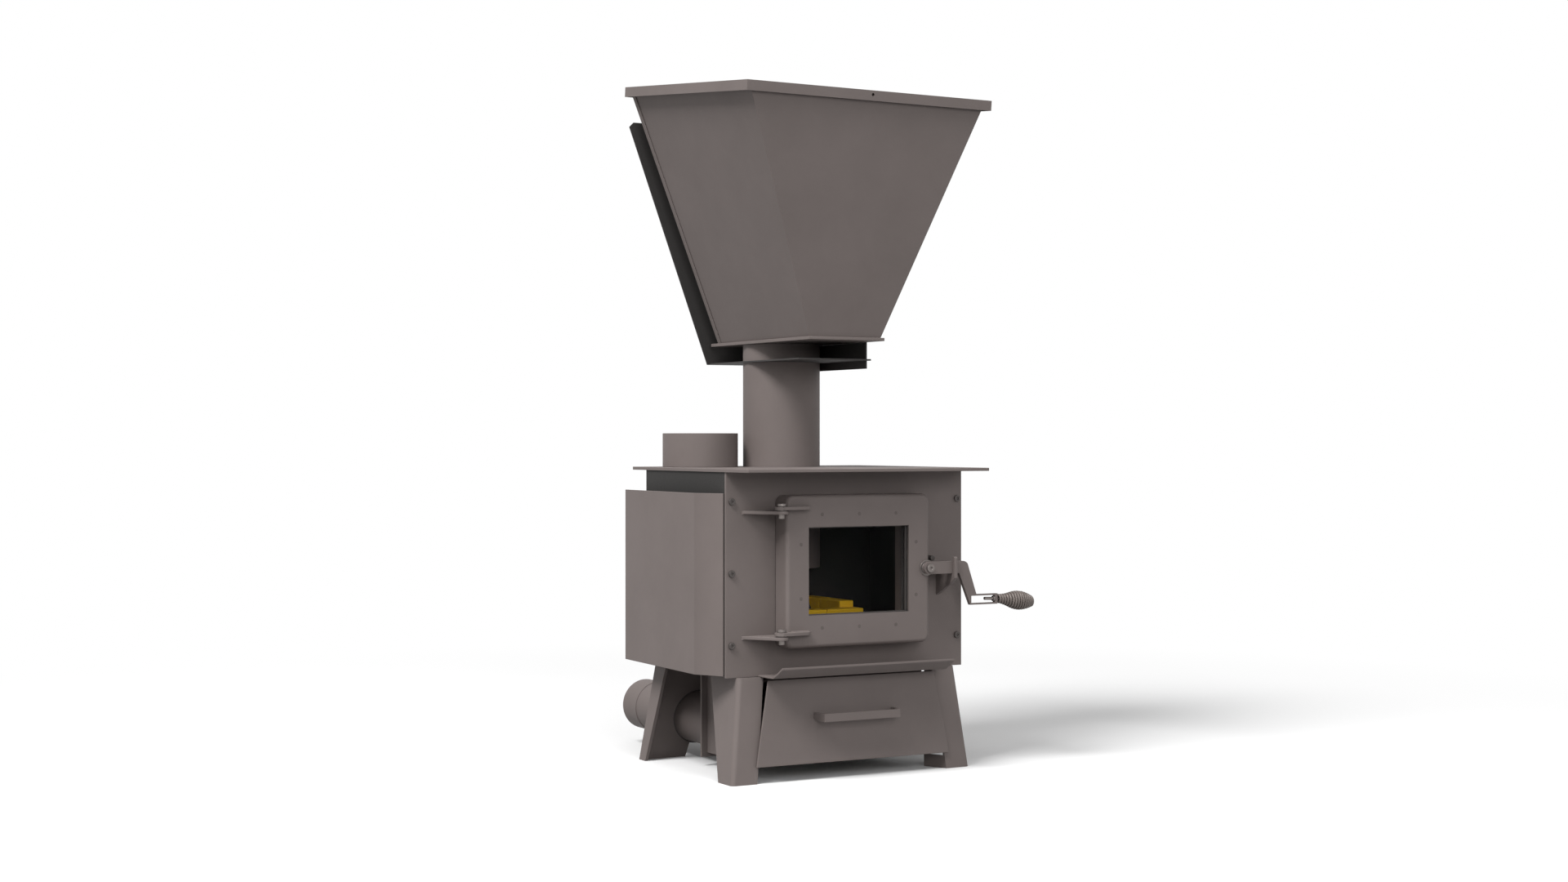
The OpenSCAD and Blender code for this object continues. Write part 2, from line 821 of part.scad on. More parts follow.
module door_seal() {
    w = door_w - 2 * (door_t + seal_in);
    h = door_h - 2 * (door_t + seal_in);
    r = 3 * seal_r;
    y = door_back + seal_r + seat / 2;
    placed(rope_grey) translate([0, y, window_z]) {
        for (sx = [-1, 1]) translate([sx * w / 2, 0, -h / 2 + r])
            cylinder(r = seal_r, h = h - 2 * r, $fn = 24);
        for (sz = [-1, 1]) bar_along_x([-w / 2 + r, 0, sz * h / 2], seal_r, w - 2 * r, $fn = 24);
        for (a = [0 : 3]) {
            sx = (a == 0 || a == 3) ? 1 : -1;
            sz = a < 2 ? 1 : -1;
            translate([sx * (w / 2 - r), 0, sz * (h / 2 - r)]) rotate([90, 0, 0])
                rotate([0, 0, (sx > 0 ? (sz > 0 ? 0 : -90) : (sz > 0 ? 90 : 180))])
                    rotate_extrude(angle = 90) translate([r, 0]) circle(seal_r, $fn = 24);
        }
    }
}

module latch_washers() {
    placed(bare_steel) translate([stud_x, 0, stud_z]) difference() {
        union() {
            bar_along_y([0, door_face - seat - stud_washer_t, 0], stud_washer_r, stud_washer_t);
            bar_along_y([0, door_face - 1.5 * seat - stud_washer_t - spacer_ring_t, 0], spacer_ring_r,
                spacer_ring_t + hair);
        }
        bar_along_y([0, door_face - door_d, 0], stud_r + run_fit, door_d);
    }
}

module latch_stud() {
    placed(bare_steel) translate([stud_x, 0, stud_z]) difference() {
        union() {
            bar_along_y([0, bar_front - seat - hair, 0], stud_r, door_face - bar_front + seat + hair);
            bar_along_y([0, bar_front - seat - stud_head_h, 0], stud_head_r, stud_head_h);
        }
        translate([0, bar_front - seat - stud_head_h + socket_h, 0]) rotate([90, 0, 0])
            cylinder(r = socket_r, h = socket_h + over, $fn = 6);
    }
}

// Outline of the latch bar in X and Z, from its pivot
module latch_outline() {
    h = latch_h / 2;
    fork_x = bar_l + leg_step;
    fork_top = -leg_drop + fork_h / 2;
    fork_low = -leg_drop - fork_h / 2;
    circle(h);
    polygon([[0, -h], [bar_l - latch_h * 0.4, -h], [fork_x - latch_h * 0.8, fork_low],
        [fork_x + fork_l, fork_low], [fork_x + fork_l, fork_top], [fork_x + fork_arm, fork_top],
        [bar_l + latch_round * 0.8, h - latch_round],
        [bar_l, h - latch_round * 0.3], [bar_l - latch_round, h], [0, h]]);
}

module latch_bar() {
    fork_x = bar_l + leg_step - latch_h * 0.8 + 2 * fork_arm;
    window_l = bar_l + leg_step + fork_l - fork_web - fork_x;
    placed(paint) translate([stud_x, bar_front, stud_z]) difference() {
        upright(0, latch_t) difference() {
            latch_outline();
            translate([fork_x, -leg_drop - fork_h / 2 + fork_arm])
                square([window_l, fork_h - 2 * fork_arm]);
        }
        bar_along_y([0, -over, 0], stud_r + run_fit, latch_t + 2 * over);
        bar_along_x([bar_l + leg_step + fork_l - fork_web - over, latch_t / 2, -leg_drop],
            grip_bolt_r + run_fit, fork_web + 2 * over);
    }
}

module grip_bolt() {
    z = stud_z - leg_drop;
    head = grip_start - fork_web - seat;
    placed(bare_steel) {
        bar_along_x([head - bolt_tail, bar_y, z], grip_bolt_r, grip_start + grip_l - head + bolt_tail);
        bar_along_x([head - fork_web * 0.5, bar_y, z], grip_bolt_r * 1.7, fork_web * 0.5);
        bar_along_x([grip_start + grip_l - grip_bolt_r * 1.2, bar_y, z], grip_small_r - grip_wire_r - seat,
            grip_bolt_r);
    }
}

// Winding radius of the grip at a share of its length: slim neck, full belly, closed end
function grip_radius(share) = grip_small_r + (grip_big_r - grip_small_r)
    * (share < 0.6 ? pow(sin(90 * share / 0.6), 2.2) : pow(cos(90 * (share - 0.6) / 0.4), 0.9));

function grip_point(share) = let (l = grip_l - 2 * grip_wire_r - 2 * seat, a = 360 * grip_turns * share,
    r = grip_radius(share))
    [grip_start + grip_wire_r + seat + l * share, bar_y + r * cos(a), stud_z - leg_drop + r * sin(a)];

function grip_ring(share) = let (a = 360 * grip_turns * share, p = grip_point(share))
    [for (k = [0 : grip_sides - 1]) let (b = 360 * k / grip_sides)
        p + grip_wire_r * [sin(b), cos(b) * cos(a), cos(b) * sin(a)]];

module spring_grip() {
    n = grip_turns * grip_rings;
    points = [for (k = [0 : n]) each grip_ring(k / n)];
    sides = [for (k = [0 : n - 1]) for (j = [0 : grip_sides - 1]) let (a = k * grip_sides + j,
        b = k * grip_sides + (j + 1) % grip_sides)
            each [[a, b, b + grip_sides], [a, b + grip_sides, a + grip_sides]]];
    low_end = [for (j = [1 : grip_sides - 2]) [0, j + 1, j]];
    high_end = [for (j = [1 : grip_sides - 2])
        [n * grip_sides, n * grip_sides + j, n * grip_sides + j + 1]];
    placed(bare_steel) polyhedron(points, concat(sides, low_end, high_end));
}

// Least gap between neighbouring turns of the grip, measured on points
grip_gap = min([for (k = [0 : (grip_turns - 1) * grip_rings]) let (n = grip_turns * grip_rings)
    norm(grip_point((k + grip_rings) / n) - grip_point(k / n)) - 2 * grip_wire_r]);
echo(grip_gap = grip_gap);

// Height of the drawer front's upper edge
drawer_high_z = body_z - drawer_top_gap;

// Depth of the drawer front's face at a height
function drawer_face(z) = -drawer_low_y + drawer_lean * (z - drawer_z) / (drawer_high_z - drawer_z);

module drawer_front() {
    high = drawer_high_z;
    placed(paint) intersection() {
        sideways(-drawer_low_w, 2 * drawer_low_w) polygon([[drawer_face(drawer_z), drawer_z],
            [drawer_face(drawer_z) + drawer_t, drawer_z], [drawer_face(high) + drawer_t, high],
            [drawer_face(high), high]]);
        upright(-2 * drawer_low_y, 3 * drawer_low_y)
            polygon([[-drawer_low_w / 2, drawer_z], [drawer_low_w / 2, drawer_z],
            [drawer_high_w / 2, high], [-drawer_high_w / 2, high]]);
    }
}

module ash_pan() {
    half = box_w / 2 - box_mouth_side - pan_side_gap;
    rear = box_front + box_d - wall_t - 2 * pan_side_gap;
    low = box_z + wall_t;
    high = low + pan_h;
    back = drawer_t + pan_t;
    placed(dark_paint) difference() {
        sideways(-half, 2 * half) polygon([[drawer_face(low) + drawer_t, low], [rear, low], [rear, high],
            [drawer_face(high) + drawer_t, high]]);
        sideways(-half + pan_t, 2 * (half - pan_t)) polygon([[drawer_face(low) + back, low + pan_t],
            [rear - pan_t, low + pan_t], [rear - pan_t, high + over],
            [drawer_face(high + over) + back, high + over]]);
    }
}

module drawer_handle() {
    half = handle_w / 2;
    face = drawer_face(handle_z - handle_h / 2) - seat;
    out = face - handle_out;
    placed(paint) intersection() {
        translate([0, 0, handle_z - handle_h / 2]) linear_extrude(handle_h) {
            difference() {
                polygon([[-half - handle_t, face], [half + handle_t, face], [half, out], [-half, out]]);
                polygon([[-half, face + over], [half, face + over], [half - handle_t, out + handle_t],
                    [-half + handle_t, out + handle_t]]);
            }
        }
        upright(out - over, handle_out + 2 * over) translate([0, handle_z]) hull() {
            translate([0, handle_h / 4]) square([2 * half + 4 * handle_t, handle_h / 2], center = true);
            for (sx = [-1, 1]) translate([sx * (half + handle_t - handle_r), -handle_h / 2 + handle_r])
                circle(handle_r);
        }
    }
}

// Half width of the hopper's outside and place of its front face at a height
function hopper_half(z) = hopper_low_w / 2 + (z - hopper_z) * side_slope;
function hopper_front(z) = hopper_low_y - (z - hopper_z) * front_slope;

// Height of the hopper's sloping top at a distance behind the front plate's face
function hopper_top(y) = front_top_z + (y + hopper_high_y) * tan(hopper_tilt);

// Front outline of the hopper's outer faces between two heights, drawn inwards by a margin
module hopper_outline(margin, low, high) {
    polygon([[-hopper_half(low) + margin, low], [hopper_half(low) - margin, low],
        [hopper_half(high) - margin, high], [-hopper_half(high) + margin, high]]);
}

// Tapered solid inside the hopper's outer faces: drawn in by a margin, shortened at the rear and longer
// at both ends
module hopper_solid(margin, rear, extra) {
    low = hopper_z - extra;
    high = rear_top_z + extra + over;
    front = hopper_front(front_top_z) + margin;
    back = hopper_rear_y - rear;
    intersection() {
        upright(-2 * hopper_high_y, 3 * hopper_rear_y) hopper_outline(margin, low, high);
        sideways(-hopper_high_w, 2 * hopper_high_w) polygon([[hopper_front(low) + margin, low], [back, low],
            [back, hopper_top(back) + extra], [front, hopper_top(front) + extra]]);
    }
}

module hopper_shell() {
    placed(paint) difference() {
        hopper_solid(0, 0, 0);
        hopper_solid(hopper_t, -over, over);
    }
}

module hopper_rear_panel() {
    placed(paint) difference() {
        upright(hopper_rear_y - seam_w, seam_w + hopper_t)
            hopper_outline(-seam_t - seat, hopper_z, hopper_top(hopper_rear_y - seam_w));
        upright(hopper_rear_y - seam_w - over, seam_w + over)
            hopper_outline(-seat, hopper_z - over, rear_top_z + over);
    }
}

module hopper_flange() {
    half = hopper_low_w / 2 + flange_side;
    placed(paint) difference() {
        block([-half, hopper_low_y - flange_front, flange_z],
            [half, hopper_rear_y + flange_rear, hopper_z]);
        translate([0, tube_y, flange_z - over]) cylinder(r = tube_r - tube_t, h = flange_t + 2 * over);
    }
}

module feed_chute() {
    inner = hopper_low_y + 2 * hopper_t;
    foot = tube_y - tube_r + tube_t;
    placed(dark_paint) intersection() {
        hopper_solid(hopper_t + seat, seat, 0);
        sideways(-hopper_high_w, 2 * hopper_high_w)
            polygon([[foot, hopper_z + seat], [foot - 2 * chute_t, hopper_z + seat],
                [inner - chute_rise * front_slope, hopper_z + chute_rise],
                [inner - chute_rise * front_slope, hopper_z + chute_rise + 2 * chute_t]]);
    }
}

module hopper_heat_shield() {
    top = front_top_z - shield_drop;
    high = hopper_half(top) + shield_side;
    low = hopper_low_w / 2 + flange_side + shield_foot_side;
    pan_half = hopper_low_w / 2 + shield_foot_side;
    back = shield_y + hopper_t;
    slope_share = 0.02;
    placed(dark_paint) difference() {
        union() {
            upright(shield_y, hopper_t) polygon([[-low, pan_z], [low, pan_z], [high, top - shield_chamfer],
                [high - shield_chamfer, top], [-high + shield_chamfer, top], [-high, top - shield_chamfer]]);
            block([-pan_half, pan_front, pan_z], [pan_half, back, pan_z + hopper_t]);
            sideways(pan_half - hopper_t, hopper_t) polygon([[pan_front + skirt_drop, pan_z - skirt_drop],
                [shield_y + hair, pan_z - skirt_drop * (1 + slope_share)], [shield_y + hair, flange_z - seat],
                [pan_front + skirt_drop, flange_z - seat]]);
        }
        translate([0, tube_y, pan_z - over]) cylinder(r = tube_r + seat, h = hopper_t + 2 * over);
    }
}

module hopper_spacers() {
    placed(bare_steel) for (sx = [-1, 1]) for (share = [0.2, 0.75]) {
        z = hopper_z + hopper_h * share;
        x = sx * hopper_half(z) * 0.7;
        bar_along_y([x, hopper_rear_y + hopper_t, z], hopper_spacer_r, shield_gap);
    }
}

module flange_bolts() {
    placed(bare_steel) for (sx = [-1, 1]) for (y = [hopper_rear_y + flange_bolt_side])
        translate([sx * (hopper_low_w / 2 - flange_bolt_side), y, hopper_z])
            cylinder(r = flange_bolt_r * 1.6, h = flange_bolt_r, $fn = 6);
}

module hopper_lid() {
    front = -hopper_high_y - lid_gap;
    rear = (hopper_rear_y + lid_gap + hopper_high_y + lid_gap) / cos(hopper_tilt);
    wide = hopper_high_w / 2 + lid_gap;
    grow = rear * sin(hopper_tilt) * side_slope;
    drop = lid_gap * tan(hopper_tilt);
    placed(paint) translate([0, front, front_top_z + lid_seat - drop]) rotate([hopper_tilt, 0, 0])
        difference() {
        translate([0, 0, -lid_rim]) linear_extrude(lid_rim + hopper_t)
            polygon([[-wide - hopper_t, -hopper_t], [wide + hopper_t, -hopper_t],
                [wide + grow + hopper_t, rear + hopper_t], [-wide - grow - hopper_t, rear + hopper_t]]);
        translate([0, 0, -lid_rim - over]) linear_extrude(lid_rim + over) polygon([[-wide, 0], [wide, 0],
            [wide + grow, rear], [-wide - grow, rear]]);
        bar_along_y([0, -over, -lid_rim / 2 + hopper_t], lid_hole_r, 2 * over);
    }
}

firebox();
front_plate();
top_plate();
feed_tube();
flue_collar();
left_side_shield();
right_side_shield();
shield_spacers();
plate_screws();
ash_lip();
front_left_leg();
front_right_leg();
rear_left_leg();
rear_right_leg();
ash_box();
ash_neck();
air_intake_pipe();
fire_grate();
feed_ramp();
front_firebricks();
side_firebricks();
rear_firebricks();
body_hinge_tabs();
hinge_pins();
hinge_washers();
catch_plate();
door_panel();
door_inner_frame();
door_glass();
glass_retainer();
retainer_bolts();
door_seal();
door_hinge_straps();
latch_stud();
latch_washers();
latch_bar();
grip_bolt();
spring_grip();
drawer_front();
ash_pan();
drawer_handle();
hopper_shell();
hopper_rear_panel();
hopper_flange();
feed_chute();
hopper_heat_shield();
hopper_spacers();
flange_bolts();
hopper_lid();
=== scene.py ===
"""Gravity fed pellet stove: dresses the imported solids, adds the fine pieces, sets the studio."""
import logging
import math
from collections.abc import Iterable
from dataclasses import dataclass, field
from enum import Enum

import bpy
from mathutils import Matrix, Vector


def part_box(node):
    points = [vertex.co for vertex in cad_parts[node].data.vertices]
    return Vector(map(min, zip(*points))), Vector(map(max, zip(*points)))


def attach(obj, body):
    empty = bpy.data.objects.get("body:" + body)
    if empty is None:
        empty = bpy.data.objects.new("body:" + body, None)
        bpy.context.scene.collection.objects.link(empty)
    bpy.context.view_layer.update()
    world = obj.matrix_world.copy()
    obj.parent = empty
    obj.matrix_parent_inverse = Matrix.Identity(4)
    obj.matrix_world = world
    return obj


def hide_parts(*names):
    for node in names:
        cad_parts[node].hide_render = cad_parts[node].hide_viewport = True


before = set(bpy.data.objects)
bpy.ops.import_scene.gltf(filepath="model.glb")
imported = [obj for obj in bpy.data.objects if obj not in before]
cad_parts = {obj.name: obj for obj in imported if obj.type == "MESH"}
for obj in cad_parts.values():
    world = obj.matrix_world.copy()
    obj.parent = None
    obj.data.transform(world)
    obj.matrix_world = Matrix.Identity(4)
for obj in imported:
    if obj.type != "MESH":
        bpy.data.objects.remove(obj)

LOG = logging.getLogger("pellet_stove")
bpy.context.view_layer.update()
MM = 0.001

Triple = tuple[float, float, float]
Span = tuple[float, float]

# The parts of the noise's output that the finishes spread over their whole range
BLOTCH_SPAN: Span = (0.32, 0.68)
GRAIN_SPAN: Span = (0.3, 0.7)
WHOLE: Span = (0.0, 1.0)

# The widest turn between two faces, in degrees, that is still shaded as one surface
SHEET_ANGLE = 35.0
ROPE_ANGLE = 60.0
ROUND_ANGLE = 80.0


class Lamp(Enum):
    """Which side of the stove a lamp stands on."""

    KEY = "key"
    FILL = "fill"
    FRONT = "front"
    TOP = "top"


def mapped(tree: bpy.types.NodeTree, value: bpy.types.NodeSocket, read: Span,
           given: Span) -> bpy.types.NodeSocket:
    """Maps a value from one range to another and holds it at the ends.

    Args:
        tree: The node tree that the node goes in.
        value: The socket to read.
        read: The range that is read.
        given: What the two ends of that range become.

    Returns:
        The mapped value's socket.
    """
    node = tree.nodes.new("ShaderNodeMapRange")
    node.inputs["From Min"].default_value, node.inputs["From Max"].default_value = read
    node.inputs["To Min"].default_value, node.inputs["To Max"].default_value = given
    tree.links.new(value, node.inputs["Value"])
    return node.outputs["Result"]


def blended(tree: bpy.types.NodeTree, share: bpy.types.NodeSocket,
            first: Triple | bpy.types.NodeSocket, second: Triple) -> bpy.types.NodeSocket:
    """Blends two colours by a share.

    Args:
        tree: The node tree that the node goes in.
        share: The socket with the second colour's share.
        first: A colour, or the socket that gives it.
        second: The other colour.

    Returns:
        The blended colour's socket.
    """
    node = tree.nodes.new("ShaderNodeMix")
    node.data_type = "RGBA"
    tree.links.new(share, node.inputs["Factor"])
    if isinstance(first, tuple):
        node.inputs["A"].default_value = (*first, 1.0)
    else:
        tree.links.new(first, node.inputs["A"])
    node.inputs["B"].default_value = (*second, 1.0)
    return node.outputs["Result"]


def showing(tree: bpy.types.NodeTree) -> bpy.types.NodeSocket:
    """Tells rays that show a surface, to the eye, in metal or through glass, from rays that light.

    Args:
        tree: The node tree that the nodes go in.

    Returns:
        The socket that is one for a ray that shows the surface.
    """
    path = tree.nodes.new("ShaderNodeLightPath")
    value = path.outputs["Is Camera Ray"]
    for ray in ("Is Glossy Ray", "Is Transmission Ray"):
        either = tree.nodes.new("ShaderNodeMath")
        either.operation = "MAXIMUM"
        tree.links.new(value, either.inputs[0])
        tree.links.new(path.outputs[ray], either.inputs[1])
        value = either.outputs["Value"]
    return value


@dataclass(frozen=True)
class SurfaceGrain:
    """The effect that every finish shares: fine grain, broad blotches and rubbed specks."""

    grain_detail: float = 3.0
    blotch_detail: float = 5.0
    blotch_roughness: float = 0.62
    speck_span: Span = (0.05, 0.3)
    sockets: tuple[tuple[str, str, str], ...] = (
        ("Vector", "INPUT", "NodeSocketVector"),
        ("Grain Scale", "INPUT", "NodeSocketFloat"),
        ("Blotch Scale", "INPUT", "NodeSocketFloat"),
        ("Grain", "OUTPUT", "NodeSocketFloat"),
        ("Blotch", "OUTPUT", "NodeSocketFloat"),
        ("Speck", "OUTPUT", "NodeSocketFloat"),
    )

    def group(self) -> bpy.types.NodeTree:
        """Builds the shared node group.

        Returns:
            The shader node group.
        """
        group = bpy.data.node_groups.new("surface_grain", "ShaderNodeTree")
        for name, way, kind in self.sockets:
            group.interface.new_socket(name, in_out=way, socket_type=kind)
        nodes, links = group.nodes, group.links
        given = nodes.new("NodeGroupInput")
        put = nodes.new("NodeGroupOutput")
        grain = nodes.new("ShaderNodeTexNoise")
        grain.inputs["Detail"].default_value = self.grain_detail
        blotch = nodes.new("ShaderNodeTexNoise")
        blotch.inputs["Detail"].default_value = self.blotch_detail
        blotch.inputs["Roughness"].default_value = self.blotch_roughness
        speck = nodes.new("ShaderNodeTexVoronoi")
        for texture, scale in ((grain, "Grain Scale"), (blotch, "Blotch Scale"),
                               (speck, "Grain Scale")):
            links.new(given.outputs["Vector"], texture.inputs["Vector"])
            links.new(given.outputs[scale], texture.inputs["Scale"])
        links.new(grain.outputs["Fac"], put.inputs["Grain"])
        links.new(blotch.outputs["Fac"], put.inputs["Blotch"])
        rubbed = mapped(group, speck.outputs["Distance"], self.speck_span, (1.0, 0.0))
        links.new(rubbed, put.inputs["Speck"])
        return group

    @staticmethod
    def placed(tree: bpy.types.NodeTree, group: bpy.types.NodeTree, grain_scale: float,
               blotch_scale: float) -> bpy.types.Node:
        """Places the shared group in a material, on the piece's own coordinates.

        Args:
            tree: The material's node tree.
            group: The shared grain group.
            grain_scale: How fine the grain is.
            blotch_scale: How fine the blotches are.

        Returns:
            The group's node.
        """
        place = tree.nodes.new("ShaderNodeTexCoord")
        grain = tree.nodes.new("ShaderNodeGroup")
        grain.node_tree = group
        grain.inputs["Grain Scale"].default_value = grain_scale
        grain.inputs["Blotch Scale"].default_value = blotch_scale
        tree.links.new(place.outputs["Object"], grain.inputs["Vector"])
        return grain


@dataclass(frozen=True)
class Finish:
    """One finish: its two colours, its roughness, and the scale and depth of its grain."""

    name: str
    slot: str
    base: Triple
    tone: Triple
    rough: Span = (0.6, 0.75)
    metallic: float = 0.0
    grain_scale: float = 900.0
    blotch_scale: float = 9.0
    bump: float = 0.12
    bump_depth: float = 0.4 * MM
    speck_share: float = 0.0
    speck: Triple = (0.0, 0.0, 0.0)

    def material(self, group: bpy.types.NodeTree) -> bpy.types.Material:
        """Builds the finish's material.

        Args:
            group: The shared grain group.

        Returns:
            The material.
        """
        made = bpy.data.materials.new(self.name)
        made.use_nodes = True
        tree = made.node_tree
        shader = tree.nodes["Principled BSDF"]
        shader.inputs["Metallic"].default_value = self.metallic
        grain = SurfaceGrain.placed(tree, group, self.grain_scale, self.blotch_scale)
        spread = mapped(tree, grain.outputs["Blotch"], BLOTCH_SPAN, WHOLE)
        colour = blended(tree, spread, self.base, self.tone)
        if self.speck_share > 0.0:
            share = mapped(tree, grain.outputs["Speck"], WHOLE, (0.0, self.speck_share))
            colour = blended(tree, share, colour, self.speck)
        rough = mapped(tree, grain.outputs["Grain"], GRAIN_SPAN, self.rough)
        bump = tree.nodes.new("ShaderNodeBump")
        bump.inputs["Strength"].default_value = self.bump
        bump.inputs["Distance"].default_value = self.bump_depth
        tree.links.new(grain.outputs["Grain"], bump.inputs["Height"])
        tree.links.new(colour, shader.inputs["Base Color"])
        tree.links.new(rough, shader.inputs["Roughness"])
        tree.links.new(bump.outputs["Normal"], shader.inputs["Normal"])
        return made


@dataclass(frozen=True)
class Glazing:
    """Clear fire glass, seen through by its alpha."""

    name: str = "fire_glass"
    slot: str = "window_glass"
    tint: Triple = (0.02, 0.02, 0.02)
    roughness: float = 0.04
    ior: float = 1.45
    cover: Span = (0.021, 0.039)
    grain_scale: float = 60.0
    blotch_scale: float = 12.0

    def material(self, group: bpy.types.NodeTree) -> bpy.types.Material:
        """Builds the glass, with a faint haze where smoke has dried on it.

        Args:
            group: The shared grain group.

        Returns:
            The material.
        """
        made = bpy.data.materials.new(self.name)
        made.use_nodes = True
        tree = made.node_tree
        shader = tree.nodes["Principled BSDF"]
        shader.inputs["Base Color"].default_value = (*self.tint, 1.0)
        shader.inputs["Roughness"].default_value = self.roughness
        shader.inputs["IOR"].default_value = self.ior
        haze = SurfaceGrain.placed(tree, group, self.grain_scale, self.blotch_scale)
        veil = mapped(tree, haze.outputs["Blotch"], WHOLE, self.cover)
        tree.links.new(veil, shader.inputs["Alpha"])
        return made


class Palette:
    """Every finish on the stove, built once and handed out by name."""

    paint = Finish("stove_enamel", "stove_paint", (0.150, 0.124, 0.117), (0.132, 0.109, 0.102),
                   grain_scale=1100.0, blotch_scale=7.0)
    dark = Finish("primer_black", "dark_paint", (0.075, 0.066, 0.062), (0.06, 0.053, 0.05),
                  grain_scale=1000.0, blotch_scale=9.0)
    # Near black on the heat shield, far darker than the stove's paint.
    shield = Finish("shield_near_black", "dark_paint", (0.024, 0.021, 0.02), (0.018, 0.016, 0.015),
                    grain_scale=1100.0, blotch_scale=6.0)
    # Painted shade: near black on the firebox's outer side walls, for the shade they stand in
    # behind the front plate and under the top plate.
    wall = Finish("painted_recess_shade", "stove_paint", (0.014, 0.012, 0.011), (0.01, 0.009, 0.008),
                  rough=(0.7, 0.85), grain_scale=1100.0, blotch_scale=6.0)
    plug = Finish("ground_plug", "stove_paint", (0.108, 0.089, 0.083), (0.085, 0.07, 0.065),
                  grain_scale=2200.0, blotch_scale=140.0)
    screw = Finish("blued_screw", "bare_steel", (0.075, 0.064, 0.06), (0.055, 0.047, 0.044),
                   rough=(0.36, 0.5), metallic=0.35, grain_scale=1500.0, blotch_scale=60.0)
    soot = Finish("soot", "stove_paint", (0.012, 0.011, 0.01), (0.022, 0.019, 0.017),
                  rough=(0.85, 0.95), grain_scale=300.0, blotch_scale=20.0, bump=0.3,
                  bump_depth=1.0 * MM)
    steel = Finish("oiled_steel", "bare_steel", (0.2, 0.178, 0.168), (0.15, 0.132, 0.124),
                   rough=(0.34, 0.48), metallic=0.75, grain_scale=1500.0, blotch_scale=60.0)
    spring = Finish("spring_steel", "bare_steel", (0.165, 0.137, 0.124), (0.12, 0.1, 0.09),
                    rough=(0.42, 0.55), metallic=0.2, grain_scale=1500.0, blotch_scale=90.0)
    iron = Finish("cast_iron", "cast_iron", (0.035, 0.033, 0.032), (0.055, 0.045, 0.04),
                  rough=(0.7, 0.85), metallic=0.3, grain_scale=420.0, blotch_scale=30.0,
                  bump=0.5, bump_depth=1.0 * MM)
    brick = Finish("firebrick", "firebrick", (0.95, 0.58, 0.016), (0.84, 0.49, 0.012),
                   rough=(0.85, 0.95), grain_scale=260.0, blotch_scale=24.0, bump=0.6,
                   bump_depth=1.2 * MM, speck_share=0.3, speck=(0.5, 0.28, 0.01))
    rope = Finish("glass_rope", "rope_seal", (0.075, 0.07, 0.065), (0.04, 0.037, 0.035),
                  rough=(0.85, 0.95), grain_scale=500.0, blotch_scale=120.0, bump=0.7,
                  bump_depth=1.5 * MM)
    glass = Glazing()

    def __init__(self) -> None:
        """Builds the shared group and an empty store of materials."""
        self.group = SurfaceGrain().group()
        self._made: dict[str, bpy.types.Material] = {}

    def material(self, finish: Finish | Glazing) -> bpy.types.Material:
        """Gives a finish's material, built the first time it is asked for.

        Args:
            finish: The finish.

        Returns:
            The material.
        """
        if finish.name not in self._made:
            self._made[finish.name] = finish.material(self.group)
        return self._made[finish.name]


